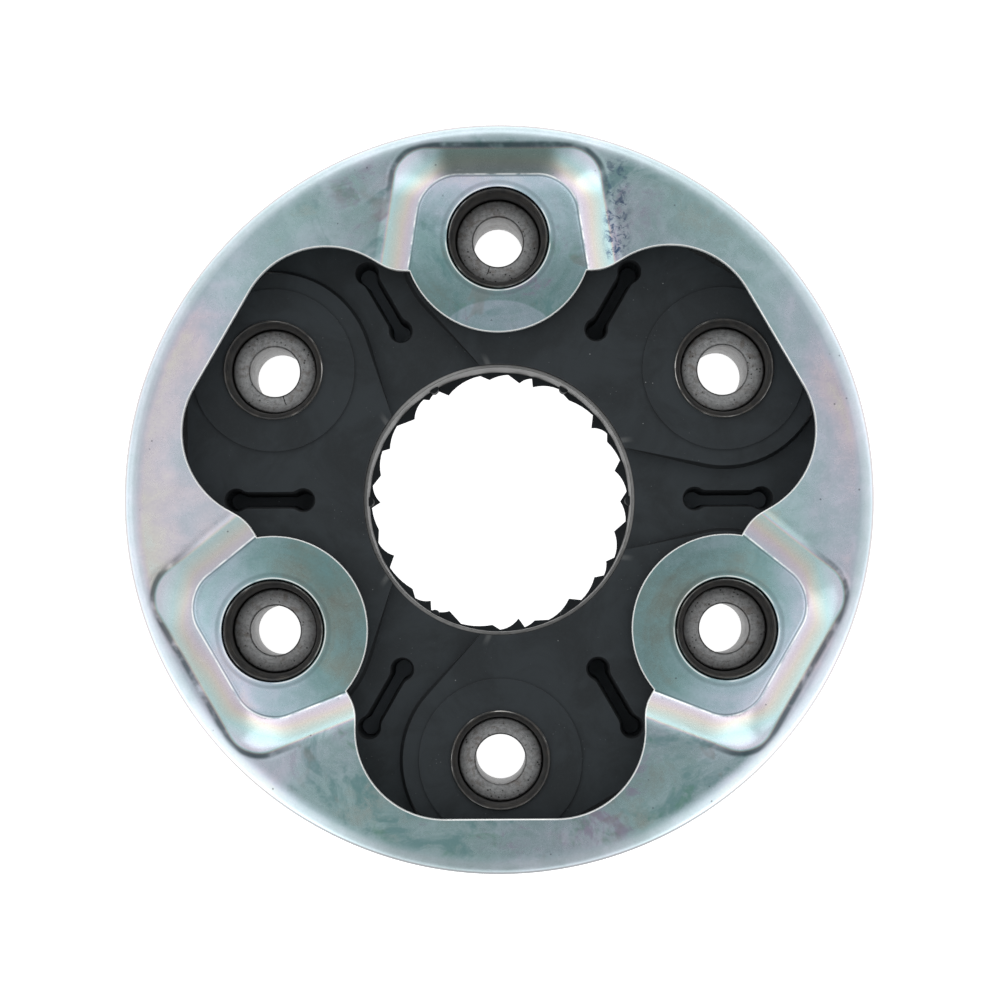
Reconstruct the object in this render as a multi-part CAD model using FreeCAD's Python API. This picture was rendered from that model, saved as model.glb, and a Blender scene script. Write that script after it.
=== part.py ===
import FreeCAD, Part
import math
import os
from FreeCAD import Vector

# Flexible driveshaft coupling. Millimetres, +Z towards the plate side, the shaft axis is Z.
# The lowest faces, the ends of the rear collars, lie at z = 0. Place 1 is at +Y, and the
# places go round clockwise as seen from the plate side.

# Bolt circle and bushes
BOLT_CIRCLE_D = 105.0
BUSH_COUNT = 6
BORE_D = 10.1
BUSH_WALL = 3.35
BUSH_LENGTH = 24.0
BORE_CHAMFER = 0.25

# Collars, pressed on both ends of each bush
COLLAR_STAND = 6.0
COLLAR_WALL = 1.65
COLLAR_RELIEF = 0.3
COLLAR_RELIEF_DEPTH = 3.0
COLLAR_RIM = 0.2
COLLAR_MOUTH_DEPTH = 2.2
COLLAR_FLANGE_D = 31.0
COLLAR_FLANGE_T = 1.6
COLLAR_FLANGE_INSET = 2.0
COLLAR_MEETING_GAP = 0.4
COLLAR_BELOW_PLATE = 0.3

# Cord loops, wound round neighbouring pairs of bushes
LOOP_OD = 33.6
DRIVE_LOOP_H = 11.6
LOOP_GAP = 0.6

# Rubber body
RUBBER_INSET = 1.0
RUBBER_RIM_CLEARANCE = 0.5
RUBBER_EDGE = 2.2
PAD_D = 32.8
PAD_RISE = 0.4
WEB_DROP = 2.0
WEB_ARC_R = 20.0
WEB_MOUTH_ANGLE = 46.0
WEB_DRAFT = 0.7
SLOT_INNER_R = 39.5
SLOT_LENGTH = 13.5
SLOT_END_D = 4.2
SLOT_WAIST = 2.7
SLOT_BLEND_R = 2.5
SLOT_DEPTH = 11.0
SLOT_DRAFT = 0.4
SLOT_RIM = 0.7

# Centre sleeve and the rubber flash at its rear end
SLEEVE_COVER = 1.27
SLEEVE_WALL = 0.65
SLEEVE_LENGTH = 16.5
REAR_BORE_STEP = 1.0
REAR_BORE_FLARE = 1.5
FLASH_T = 0.5
FLASH_TEETH = 26
FLASH_REACH = 1.75
FLASH_ROOT = 0.35
FLASH_SPREAD = 0.6
NUB_R = 0.95
NUB_H = 6.0

# Pressed ring plate with three lobes
PLATE_MARGIN = 22.5
SHEET_T = 2.5
LOBE_DROP = 4.5
RIM_BEND_R = 2.8
RIM_DEPTH = 12.0
PLATE_HOLE_CLEARANCE = 0.3
PLATE_HOLE_LIP = 0.3
LOBE_R = 19.0
EAR_INSET = 6.6
RING_W_AT_LOBE = 4.5
FLOOR_HALF_W = 15.1
FLOOR_CORNER_R = 7.0
RAMP_RUN = 5.3
RAMP_SIDE_RUN = 5.0
RAMP_CORNER_GROWTH = 1.5
SIDE_TAPER = 0.155
FLOOR_BEND_R = 2.5
RING_BEND_R = 2.5
RING_W_AT_SCALLOP = 11.15
SCALLOP_HALF_W = 28.85
SCALLOP_R = 17.75
KNEE_R = 8.0

# Sizes worked out from the ones above
BOLT_R = BOLT_CIRCLE_D / 2
BUSH_R = BORE_D / 2 + BUSH_WALL
STEP_ANGLE = 360.0 / BUSH_COUNT
BUSH_REAR_Z = COLLAR_STAND
BUSH_FRONT_Z = BUSH_REAR_Z + BUSH_LENGTH
COLLAR_END_Z = BUSH_FRONT_Z + COLLAR_STAND
MID_Z = COLLAR_END_Z / 2
RUBBER_REAR_Z = RUBBER_INSET
RUBBER_FRONT_Z = COLLAR_END_Z - RUBBER_INSET
RUBBER_T = RUBBER_FRONT_Z - RUBBER_REAR_Z
FLANGE_TOP_Z = COLLAR_END_Z - COLLAR_FLANGE_INSET
FLANGE_UNDER_Z = FLANGE_TOP_Z - COLLAR_FLANGE_T
COLLAR_R = BUSH_R + COLLAR_WALL
RUBBER_LOBE_R = PLATE_MARGIN - SHEET_T - RUBBER_RIM_CLEARANCE
WEB_FRONT_Z = RUBBER_FRONT_Z - WEB_DROP
LOBE_UNDER_Z = COLLAR_END_Z
LOBE_TOP_Z = LOBE_UNDER_Z + SHEET_T
RING_TOP_Z = LOBE_TOP_Z + LOBE_DROP
SLEEVE_REAR_Z = WEB_FRONT_Z - SLEEVE_LENGTH
CHORD_MID_R = BOLT_R * math.cos(math.radians(STEP_ANGLE / 2))
CHORD_HALF = BOLT_R * math.sin(math.radians(STEP_ANGLE / 2))
SLEEVE_R = CHORD_MID_R - LOOP_OD / 2 - SLEEVE_COVER
SLEEVE_BORE_R = SLEEVE_R - SLEEVE_WALL
SLOT_OUTER_R = SLOT_INNER_R + SLOT_LENGTH
PLATE_R = BOLT_R + PLATE_MARGIN
RIM_LOW_Z = RING_TOP_Z - RIM_DEPTH
FLOOR_END_Y = PLATE_R - RING_W_AT_LOBE - RAMP_RUN
SCALLOP_REACH = PLATE_R - RING_W_AT_SCALLOP
LOBE_TIP_Y = BOLT_R - LOBE_R
PLATE_PLACES = (1, 3, 5)
UP = Vector(0, 0, 1)
ORIGIN = Vector(0, 0, 0)


def place_angle(place):
    """Turn about Z, in degrees, that carries +Y to a bush place."""
    return -STEP_ANGLE * (place - 1)


def turned(shape, angle):
    copy = shape.copy()
    copy.rotate(ORIGIN, UP, angle)
    return copy


def moved(shape, x, y, z):
    copy = shape.copy()
    copy.translate(Vector(x, y, z))
    return copy


def flipped(shape):
    """The same shape seen from the other side of the middle plane."""
    copy = shape.copy()
    copy.rotate(Vector(0, 0, MID_Z), Vector(0, 1, 0), 180)
    return copy


def revolved(points):
    """Solid of revolution of a closed outline of (radius, z) points."""
    corners = [Vector(r, 0, z) for r, z in points]
    wire = Part.makePolygon(corners + corners[:1])
    return Part.Face(wire).revolve(ORIGIN, UP, 360)


def rounded_wire(corners, z):
    """Closed wire through (x, y, radius) corners, each rounded to its radius."""
    count = len(corners)
    stops = []
    for i in range(count):
        x, y, radius = corners[i]
        corner = Vector(x, y, z)
        before = Vector(corners[i - 1][0], corners[i - 1][1], z) - corner
        after = Vector(corners[(i + 1) % count][0], corners[(i + 1) % count][1], z) - corner
        before.normalize()
        after.normalize()
        if radius == 0:
            stops.append((corner, corner, corner))
            continue
        half = before.getAngle(after) / 2
        bisector = (before + after).normalize()
        reach = radius / math.tan(half)
        middle = corner + bisector * (radius / math.sin(half) - radius)
        stops.append((corner + before * reach, middle, corner + after * reach))
    edges = []
    for i in range(count):
        start, middle, end = stops[i]
        if start != end:
            edges.append(Part.Arc(start, middle, end).toShape())
        following = stops[(i + 1) % count][0]
        if end.distanceToPoint(following) > 1e-6:
            edges.append(Part.LineSegment(end, following).toShape())
    return Part.Wire(edges)


def prism(wire, height):
    return Part.Face(wire).extrude(Vector(0, 0, height))


def loft(wires):
    return Part.makeLoft(wires, True, True)


def edges_at(shape, z, inside):
    """Edges that lie in the plane z and whose middle passes the test."""
    found = []
    for edge in shape.Edges:
        box = edge.BoundBox
        if abs(box.ZMin - z) > 1e-4 or abs(box.ZMax - z) > 1e-4:
            continue
        middle = edge.valueAt((edge.FirstParameter + edge.LastParameter) / 2)
        if inside(middle):
            found.append(edge)
    return found


def bush():
    """Turned steel bush with a chamfered bore, standing at the origin's axis."""
    bore = BORE_D / 2
    low = BUSH_REAR_Z
    high = BUSH_FRONT_Z
    return revolved([
        (bore, low + BORE_CHAMFER), (bore + BORE_CHAMFER, low), (BUSH_R, low),
        (BUSH_R, high), (bore + BORE_CHAMFER, high), (bore, high - BORE_CHAMFER),
    ])


def collar_outside(end_z):
    """Outer line of a front collar, from its inner end to its mouth."""
    flange = COLLAR_FLANGE_D / 2
    return [
        (COLLAR_R, MID_Z + COLLAR_MEETING_GAP / 2), (COLLAR_R, FLANGE_UNDER_Z),
        (flange, FLANGE_UNDER_Z), (flange, FLANGE_TOP_Z), (COLLAR_R, FLANGE_TOP_Z),
        (COLLAR_R, end_z),
    ]


def front_collar(end_z):
    """Pressed collar: a sleeve on the bush, a flange in the rubber, a funnel mouth."""
    relief = BUSH_R + COLLAR_RELIEF
    relief_z = BUSH_FRONT_Z - COLLAR_RELIEF_DEPTH
    return revolved([(BUSH_R, MID_Z + COLLAR_MEETING_GAP / 2)] + collar_outside(end_z) + [
        (COLLAR_R - COLLAR_RIM, end_z), (relief, end_z - COLLAR_MOUTH_DEPTH),
        (relief, relief_z), (BUSH_R, relief_z),
    ])


def collar_room(end_z):
    """Everything inside a front collar's outer line, as cut from the rubber."""
    outline = [(0, MID_Z), (COLLAR_R, MID_Z)] + collar_outside(end_z)[1:]
    return revolved(outline + [(0, end_z)])


def cord_loop(low_z, height):
    """Cord pack wound round two neighbouring bushes, straight between them."""
    outer = LOOP_OD / 2
    inner = COLLAR_R
    packs = []
    for radius in (outer, inner):
        ends = [Part.makeCylinder(radius, height, Vector(side, CHORD_MID_R, low_z))
                for side in (-CHORD_HALF, CHORD_HALF)]
        run = Part.makeBox(2 * CHORD_HALF, 2 * radius, height,
                           Vector(-CHORD_HALF, CHORD_MID_R - radius, low_z))
        packs.append(ends[0].fuse([ends[1], run]).removeSplitter())
    return packs[0].cut(packs[1])


def web_wire(z, arc_r):
    """Recessed web between two bushes: waisted by arcs round both, open outwards."""
    half = math.radians(WEB_MOUTH_ANGLE / 2)
    mouth_x = SLEEVE_BORE_R * math.sin(half)
    mouth_y = SLEEVE_BORE_R * math.cos(half)
    away_x = mouth_x - CHORD_HALF
    away_y = mouth_y - CHORD_MID_R
    away = math.hypot(away_x, away_y)
    turn = math.atan2(away_y, away_x) - math.acos(arc_r / away)
    touch_x = CHORD_HALF + arc_r * math.cos(turn)
    touch_y = CHORD_MID_R + arc_r * math.sin(turn)
    waist_x = CHORD_HALF - arc_r
    outer_y = BOLT_R + RUBBER_LOBE_R
    top_y = CHORD_MID_R + arc_r
    right = [Vector(mouth_x, mouth_y, z), Vector(touch_x, touch_y, z),
             Vector(waist_x, CHORD_MID_R, z), Vector(CHORD_HALF, top_y, z),
             Vector(CHORD_HALF, outer_y, z)]
    left = [Vector(-p.x, p.y, z) for p in right]
    return Part.Wire([
        Part.LineSegment(left[0], right[0]).toShape(),
        Part.LineSegment(right[0], right[1]).toShape(),
        Part.Arc(right[1], right[2], right[3]).toShape(),
        Part.LineSegment(right[3], right[4]).toShape(),
        Part.LineSegment(right[4], left[4]).toShape(),
        Part.LineSegment(left[4], left[3]).toShape(),
        Part.Arc(left[3], left[2], left[1]).toShape(),
        Part.LineSegment(left[1], left[0]).toShape(),
    ])


def web_recess():
    """Cutter for one recessed web on the front, with drafted walls."""
    over_z = RUBBER_FRONT_Z + WEB_DROP
    floor = web_wire(WEB_FRONT_Z, WEB_ARC_R + WEB_DRAFT / 2)
    above = web_wire(over_z, WEB_ARC_R - WEB_DRAFT * 1.5)
    return loft([floor, above])


def dogbone_wire(z, end_r, waist):
    """Slot outline on the +Y line: two round ends, a waist, tangent blends."""
    rise = math.sqrt((end_r + SLOT_BLEND_R) ** 2 - (waist + SLOT_BLEND_R) ** 2)
    share = end_r / (end_r + SLOT_BLEND_R)
    touch_x = (waist + SLOT_BLEND_R) * share
    touch_y = rise * share
    middle_x = waist + SLOT_BLEND_R * (1 - math.cos(math.asin(rise / (end_r + SLOT_BLEND_R)) / 2))
    middle_y = rise - SLOT_BLEND_R * math.sin(math.asin(rise / (end_r + SLOT_BLEND_R)) / 2)

    def at(x, y):
        return Vector(x, y, z)

    low = SLOT_INNER_R
    high = SLOT_OUTER_R
    return Part.Wire([
        Part.LineSegment(at(waist, low + rise), at(waist, high - rise)).toShape(),
        Part.Arc(at(waist, high - rise), at(middle_x, high - middle_y),
                 at(touch_x, high - touch_y)).toShape(),
        Part.Arc(at(touch_x, high - touch_y), at(0, high + end_r),
                 at(-touch_x, high - touch_y)).toShape(),
        Part.Arc(at(-touch_x, high - touch_y), at(-middle_x, high - middle_y),
                 at(-waist, high - rise)).toShape(),
        Part.LineSegment(at(-waist, high - rise), at(-waist, low + rise)).toShape(),
        Part.Arc(at(-waist, low + rise), at(-middle_x, low + middle_y),
                 at(-touch_x, low + touch_y)).toShape(),
        Part.Arc(at(-touch_x, low + touch_y), at(0, low - end_r),
                 at(touch_x, low + touch_y)).toShape(),
        Part.Arc(at(touch_x, low + touch_y), at(middle_x, low + middle_y),
                 at(waist, low + rise)).toShape(),
    ])


def slot(mouth_z):
    """Cutter for one blind slot, narrower at its floor, with a flared rim."""
    end_r = SLOT_END_D / 2
    waist = SLOT_WAIST / 2
    floor = dogbone_wire(mouth_z - SLOT_DEPTH, end_r - SLOT_DRAFT, waist - SLOT_DRAFT)
    neck = dogbone_wire(mouth_z - SLOT_RIM, end_r, waist)
    mouth = dogbone_wire(mouth_z, end_r + SLOT_RIM / 2, waist + SLOT_RIM / 2)
    over = dogbone_wire(mouth_z + SLOT_RIM, end_r + SLOT_RIM, waist + SLOT_RIM)
    return loft([floor, neck]).fuse(loft([neck, mouth])).fuse(loft([mouth, over]))


def flash_ring():
    """Thin ragged web of rubber that leaked in under the sleeve's rear end.

    Each torn tooth has one straight flank and one hollow flank, and six nubs of
    rubber stand on the web against the sleeve, one in line with each slot.
    """
    low_z = SLEEVE_REAR_Z - FLASH_T

    def at(reach, turn):
        angle = 2 * math.pi * turn / FLASH_TEETH
        radius = SLEEVE_BORE_R - reach
        return Vector(radius * math.cos(angle), radius * math.sin(angle), low_z)

    teeth = []
    for tooth in range(FLASH_TEETH):
        wander = 0.2 * math.sin(1.7 * tooth) + 0.15 * math.sin(4.1 * tooth)
        reach = FLASH_REACH + FLASH_SPREAD * math.sin(2.6 * tooth)
        teeth.append((tooth + wander, reach, 0.3 + 0.12 * math.sin(3.3 * tooth)))
    teeth.append((FLASH_TEETH + teeth[0][0], teeth[0][1], 0))
    edge = []
    for (turn, reach, flank), (next_turn, next_reach, _) in zip(teeth, teeth[1:]):
        root = turn + flank * (next_turn - turn)
        hollow = (root + next_turn) / 2
        edge.append(Part.LineSegment(at(reach, turn), at(FLASH_ROOT, root)).toShape())
        edge.append(Part.Arc(at(FLASH_ROOT, root), at(FLASH_ROOT + next_reach / 4, hollow),
                             at(next_reach, next_turn)).toShape())
    web = Part.makeCylinder(SLEEVE_R + REAR_BORE_STEP, FLASH_T, Vector(0, 0, low_z))
    web = web.cut(prism(Part.Wire(edge), FLASH_T))
    bore = Part.makeCylinder(SLEEVE_BORE_R, NUB_H, Vector(0, 0, SLEEVE_REAR_Z))
    post = Part.makeCylinder(NUB_R, NUB_H, Vector(0, SLEEVE_BORE_R, SLEEVE_REAR_Z)).common(bore)
    return web.fuse([turned(post, web_angle(k)) for k in range(BUSH_COUNT)])


def centre_sleeve():
    return revolved([(SLEEVE_BORE_R, SLEEVE_REAR_Z), (SLEEVE_R, SLEEVE_REAR_Z),
                     (SLEEVE_R, WEB_FRONT_Z), (SLEEVE_BORE_R, WEB_FRONT_Z)])


def rubber_blank():
    """Six-lobed body, the outline of a belt round six equal circles."""
    reach = (BOLT_R + RUBBER_LOBE_R / math.cos(math.radians(STEP_ANGLE / 2)))
    corners = []
    for place in range(1, BUSH_COUNT + 1):
        angle = math.radians(90 + place_angle(place))
        corners.append((reach * math.cos(angle), reach * math.sin(angle), RUBBER_LOBE_R))
    body = prism(rounded_wire(corners, RUBBER_REAR_Z), RUBBER_T)
    rims = [edge for edge in body.Edges if edge.BoundBox.ZLength < 1e-6]
    return body.makeChamfer(RUBBER_EDGE, rims)


def loop_layout():
    """Name, low z, height and web number of each cord loop."""
    drive_z = MID_Z - DRIVE_LOOP_H / 2
    front_z = MID_Z + DRIVE_LOOP_H / 2 + LOOP_GAP
    coast_h = FLANGE_UNDER_Z - front_z
    rear_z = 2 * MID_Z - FLANGE_UNDER_Z
    rows = []
    for pair in range(BUSH_COUNT // 2):
        rows.append(("drive_loop_%d" % (pair + 1), drive_z, DRIVE_LOOP_H, 2 * pair + 1))
        rows.append(("coast_loop_front_%d" % (pair + 1), front_z, coast_h, 2 * pair))
        rows.append(("coast_loop_rear_%d" % (pair + 1), rear_z, coast_h, 2 * pair))
    return rows


def web_angle(web):
    """Turn that carries +Y to the web after place 1 + web."""
    return place_angle(1) - STEP_ANGLE * (web + 0.5)


def collar_end(place):
    """Height of a front collar's mouth: the ones in the plate stand higher."""
    return LOBE_TOP_Z - COLLAR_BELOW_PLATE if place in PLATE_PLACES else COLLAR_END_Z


def rubber_body(loops):
    body = rubber_blank()
    for web in range(BUSH_COUNT):
        angle = web_angle(web)
        front_z = RUBBER_FRONT_Z
        if web % 2:
            recess = web_recess()
            body = body.cut([turned(recess, angle), flipped(turned(recess, -angle))])
            front_z = WEB_FRONT_Z
        opening = slot(front_z)
        body = body.cut([turned(opening, angle), flipped(turned(opening, -angle))])
    for place in range(1, BUSH_COUNT + 1):
        angle = place_angle(place)
        pad_top = LOBE_UNDER_Z if place in PLATE_PLACES else RUBBER_FRONT_Z + PAD_RISE
        pad = Part.makeCylinder(PAD_D / 2, pad_top - RUBBER_REAR_Z + PAD_RISE,
                                Vector(0, BOLT_R, RUBBER_REAR_Z - PAD_RISE))
        body = body.fuse(turned(pad, angle))
    for place in range(1, BUSH_COUNT + 1):
        angle = place_angle(place)
        front = moved(collar_room(COLLAR_END_Z + LOBE_DROP), 0, BOLT_R, 0)
        rear = flipped(front)
        body = body.cut([turned(front, angle), turned(rear, angle)])
    body = body.cut(list(loops.values()))
    rear_bore = SLEEVE_R + REAR_BORE_STEP
    hollow = revolved([
        (0, -1), (rear_bore + REAR_BORE_FLARE, -1),
        (rear_bore, SLEEVE_REAR_Z - FLASH_T), (rear_bore, SLEEVE_REAR_Z),
        (SLEEVE_R, SLEEVE_REAR_Z), (SLEEVE_R, RUBBER_FRONT_Z + 1), (0, RUBBER_FRONT_Z + 1),
    ])
    return body.cut(hollow).fuse(flash_ring())


def step_wire(z, share, offset):
    """Outline of a lobe's ramp, from the floor line (share 0) to the ring line (share 1)."""
    reach = FLOOR_END_Y + RAMP_RUN * share + offset
    half = FLOOR_HALF_W + RAMP_SIDE_RUN * share + offset
    corner = FLOOR_CORNER_R + RAMP_CORNER_GROWTH * share + offset
    back = LOBE_TIP_Y - SHEET_T
    back_half = half + SIDE_TAPER * (reach - back)
    return rounded_wire([(-back_half, back, 0), (back_half, back, 0),
                         (half, reach, corner), (-half, reach, corner)], z)


def lobe_form(floor_z, ring_z, offset, floor_bend, ring_bend):
    """The hollow of one sunk lobe, its ramp rounded at the floor and at the ring."""
    back = LOBE_TIP_Y - SHEET_T
    half = FLOOR_HALF_W + RAMP_SIDE_RUN + offset + SIDE_TAPER * PLATE_R + ring_bend
    depth = PLATE_R - back
    hollow = loft([step_wire(floor_z, 0, offset), step_wire(ring_z, 1, offset)])
    block = Part.makeBox(2 * half, depth, ring_z - floor_z + SHEET_T,
                         Vector(-half, back, floor_z - SHEET_T))
    solid = block.cut(hollow)

    def on_wall(p):
        return back + 0.01 < p.y < back + depth - 0.01 and abs(p.x) < half - 0.01

    solid = solid.makeFillet(ring_bend, edges_at(solid, ring_z, on_wall))
    solid = solid.makeFillet(floor_bend, edges_at(solid, floor_z, on_wall))
    return block.cut(solid)


def opening_wire(z):
    """Scalloped opening of the plate: three scallops between three round lobes."""
    ear_y = BOLT_R - EAR_INSET
    ear_x = math.sqrt(LOBE_R ** 2 - EAR_INSET ** 2)
    turn = math.radians(STEP_ANGLE)
    along = (ear_y - SCALLOP_HALF_W * math.sin(turn)) / math.cos(turn)
    knee_x = -SCALLOP_HALF_W * math.cos(turn) + along * math.sin(turn)
    knee_slope = math.pi / 2 - turn
    knee_reach = KNEE_R * math.tan(knee_slope / 2)
    shoulder_y = SCALLOP_REACH - SCALLOP_R
    centre_x = SCALLOP_HALF_W - SCALLOP_R
    arc_mid = SCALLOP_R * math.sqrt(0.5)

    def from_scallop(x, y, side):
        angle = -side * turn
        px = x * math.cos(angle) - y * math.sin(angle)
        py = x * math.sin(angle) + y * math.cos(angle)
        return Vector(px, py, z)

    knee_middle = Vector(knee_x - KNEE_R * (math.tan(knee_slope / 2) - math.sin(knee_slope / 2)),
                         ear_y + KNEE_R * (1 - math.cos(knee_slope / 2)), z)
    right = [
        Vector(ear_x, ear_y, z), Vector(knee_x - knee_reach, ear_y, z), knee_middle,
        from_scallop(-SCALLOP_HALF_W, along + knee_reach, 1),
        from_scallop(-SCALLOP_HALF_W, shoulder_y, 1),
        from_scallop(-centre_x - arc_mid, shoulder_y + arc_mid, 1),
        from_scallop(-centre_x, SCALLOP_REACH, 1),
    ]
    left = [Vector(-p.x, p.y, z) for p in right]
    lobe_tip = Vector(0, LOBE_TIP_Y, z)
    third = [
        Part.Arc(left[0], lobe_tip, right[0]).toShape(),
        Part.LineSegment(right[0], right[1]).toShape(),
        Part.Arc(right[1], right[2], right[3]).toShape(),
        Part.LineSegment(right[3], right[4]).toShape(),
        Part.Arc(right[4], right[5], right[6]).toShape(),
        Part.LineSegment(right[6], from_scallop(centre_x, SCALLOP_REACH, 1)).toShape(),
    ]
    third += [
        Part.LineSegment(left[1], left[0]).toShape(),
        Part.Arc(left[3], left[2], left[1]).toShape(),
        Part.LineSegment(left[4], left[3]).toShape(),
        Part.Arc(left[6], left[5], left[4]).toShape(),
    ]
    edges = []
    for place in PLATE_PLACES:
        edges += [turned(edge, place_angle(place)) for edge in third]
    return Part.Wire(Part.__sortEdges__(edges))


def ring_plate():
    """Pressed sheet: a flat ring with a turned-down rim and three sunk lobes."""
    under = RING_TOP_Z - SHEET_T
    inner_r = PLATE_R - SHEET_T
    bend_r = PLATE_R - RIM_BEND_R
    bend_z = RING_TOP_Z - RIM_BEND_R
    half_way = RIM_BEND_R * math.sqrt(0.5)
    outline = [Part.Arc(Vector(bend_r, 0, RING_TOP_Z), Vector(bend_r + half_way, 0, bend_z + half_way),
                        Vector(PLATE_R, 0, bend_z)).toShape()]
    corners = [(PLATE_R, bend_z), (PLATE_R, RIM_LOW_Z), (inner_r, RIM_LOW_Z), (inner_r, under),
               (0, under), (0, RING_TOP_Z), (bend_r, RING_TOP_Z)]
    for (r, z), (next_r, next_z) in zip(corners, corners[1:]):
        outline.append(Part.LineSegment(Vector(r, 0, z), Vector(next_r, 0, next_z)).toShape())
    plate = Part.Face(Part.Wire(outline)).revolve(ORIGIN, UP, 360)

    slope = math.atan2(LOBE_DROP, RAMP_RUN)
    offset = SHEET_T * math.tan(slope / 2)
    boss = lobe_form(LOBE_UNDER_Z, under, offset, FLOOR_BEND_R + SHEET_T, RING_BEND_R - SHEET_T / 2)
    pocket = lobe_form(LOBE_TOP_Z, RING_TOP_Z, 0, FLOOR_BEND_R, RING_BEND_R)
    for place in PLATE_PLACES:
        plate = plate.fuse(turned(boss, place_angle(place)))
    for place in PLATE_PLACES:
        plate = plate.cut(turned(pocket, place_angle(place)))
    plate = plate.cut(prism(opening_wire(LOBE_UNDER_Z - 1), LOBE_DROP + SHEET_T + 2))
    hole_r = COLLAR_R + PLATE_HOLE_CLEARANCE
    hole = revolved([
        (0, LOBE_UNDER_Z - 1), (hole_r, LOBE_UNDER_Z - 1), (hole_r, LOBE_TOP_Z - PLATE_HOLE_LIP),
        (hole_r + PLATE_HOLE_LIP * 2, LOBE_TOP_Z + PLATE_HOLE_LIP), (0, LOBE_TOP_Z + PLATE_HOLE_LIP),
    ])
    for place in PLATE_PLACES:
        plate = plate.cut(turned(moved(hole, 0, BOLT_R, 0), place_angle(place)))
    return plate


def build():
    parts = {}
    loops = {}
    for name, low_z, height, web in loop_layout():
        loops[name] = turned(cord_loop(low_z, height), web_angle(web))
    parts["rubber_body"] = rubber_body(loops)
    parts["ring_plate"] = ring_plate()
    parts["centre_sleeve"] = centre_sleeve()
    rear_collar = flipped(front_collar(COLLAR_END_Z))
    for place in range(1, BUSH_COUNT + 1):
        angle = place_angle(place)
        parts["bush_%d" % place] = turned(moved(bush(), 0, BOLT_R, 0), angle)
        collar = front_collar(collar_end(place))
        parts["front_collar_%d" % place] = turned(moved(collar, 0, BOLT_R, 0), angle)
        parts["rear_collar_%d" % place] = turned(moved(rear_collar, 0, BOLT_R, 0), angle)
    parts.update(loops)
    return parts


os.makedirs("parts", exist_ok=True)
for node, shape in build().items():
    solids = shape.Solids
    solid = solids[0] if len(solids) == 1 else Part.makeCompound(solids)
    solid.exportStep("parts/%s.step" % node)
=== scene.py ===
import math

import bmesh
import bpy
from mathutils import Matrix, Vector


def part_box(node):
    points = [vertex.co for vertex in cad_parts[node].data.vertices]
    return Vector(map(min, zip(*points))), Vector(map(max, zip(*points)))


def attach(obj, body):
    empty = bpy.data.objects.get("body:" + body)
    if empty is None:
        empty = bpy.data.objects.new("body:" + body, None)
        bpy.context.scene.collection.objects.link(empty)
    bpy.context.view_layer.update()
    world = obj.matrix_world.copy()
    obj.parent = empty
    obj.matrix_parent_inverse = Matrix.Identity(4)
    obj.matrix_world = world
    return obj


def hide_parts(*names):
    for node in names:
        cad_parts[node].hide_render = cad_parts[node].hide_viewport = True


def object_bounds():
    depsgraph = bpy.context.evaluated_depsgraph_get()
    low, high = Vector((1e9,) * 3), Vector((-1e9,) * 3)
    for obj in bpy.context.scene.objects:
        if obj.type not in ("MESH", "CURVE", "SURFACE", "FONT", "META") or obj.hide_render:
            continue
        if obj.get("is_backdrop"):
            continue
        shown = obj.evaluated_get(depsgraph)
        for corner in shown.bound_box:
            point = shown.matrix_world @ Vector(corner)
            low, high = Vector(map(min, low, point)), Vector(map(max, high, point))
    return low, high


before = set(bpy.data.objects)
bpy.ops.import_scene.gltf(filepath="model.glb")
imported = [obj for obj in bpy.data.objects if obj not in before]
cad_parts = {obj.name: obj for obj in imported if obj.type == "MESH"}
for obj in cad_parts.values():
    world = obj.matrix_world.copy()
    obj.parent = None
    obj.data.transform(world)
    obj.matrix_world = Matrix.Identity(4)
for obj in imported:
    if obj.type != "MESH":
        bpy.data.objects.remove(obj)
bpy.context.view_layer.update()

# The six bushes are turned from steel tube, faced on both ends and left bare.
# Each stands on the bolt circle inside its collars, with chamfered edges,
# turning marks, brown stains and black pits on its faces.
MM = 0.001
PLACES = range(1, 7)


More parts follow.
